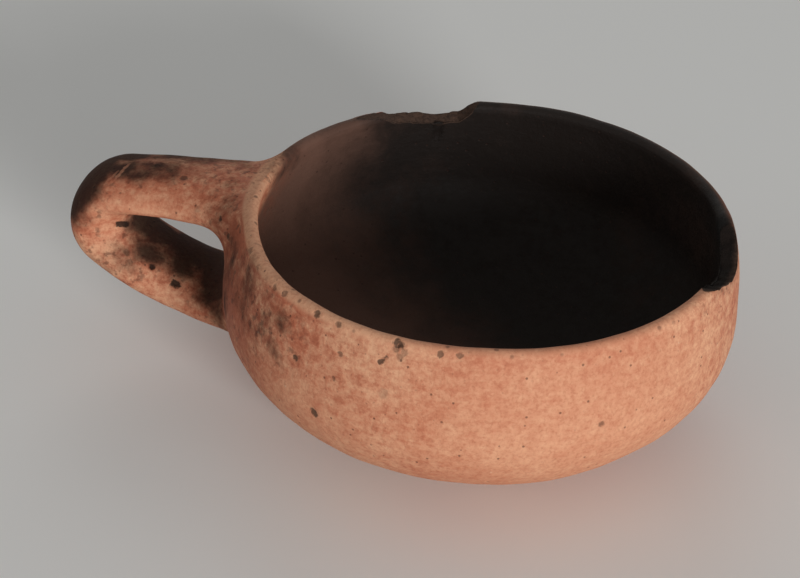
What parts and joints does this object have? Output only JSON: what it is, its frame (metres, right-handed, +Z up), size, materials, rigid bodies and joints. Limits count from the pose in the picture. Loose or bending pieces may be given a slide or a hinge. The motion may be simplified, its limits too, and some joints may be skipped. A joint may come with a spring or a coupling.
{
  "type": "bowl",
  "caption": "Round red slip bowl of fired clay with an incurved, chipped rim, a flat base and one strap loop handle from the rim down to the belly.",
  "frame": {"origin": "centre of the flat base that the bowl stands on", "axes": "+Z up along the axis of the bowl, -X towards the loop handle"},
  "size_m": [0.2196, 0.1632, 0.071],
  "materials": {
    "red_slip": "matt fired clay with a worn red slip, sooty on the handle and dark inside"
  },
  "bodies": {
    "root": {"bowl_body": "red_slip", "loop_handle": "red_slip", "upper_luting_clay": "red_slip", "lower_luting_clay": "red_slip"}
  },
  "joints": []
}
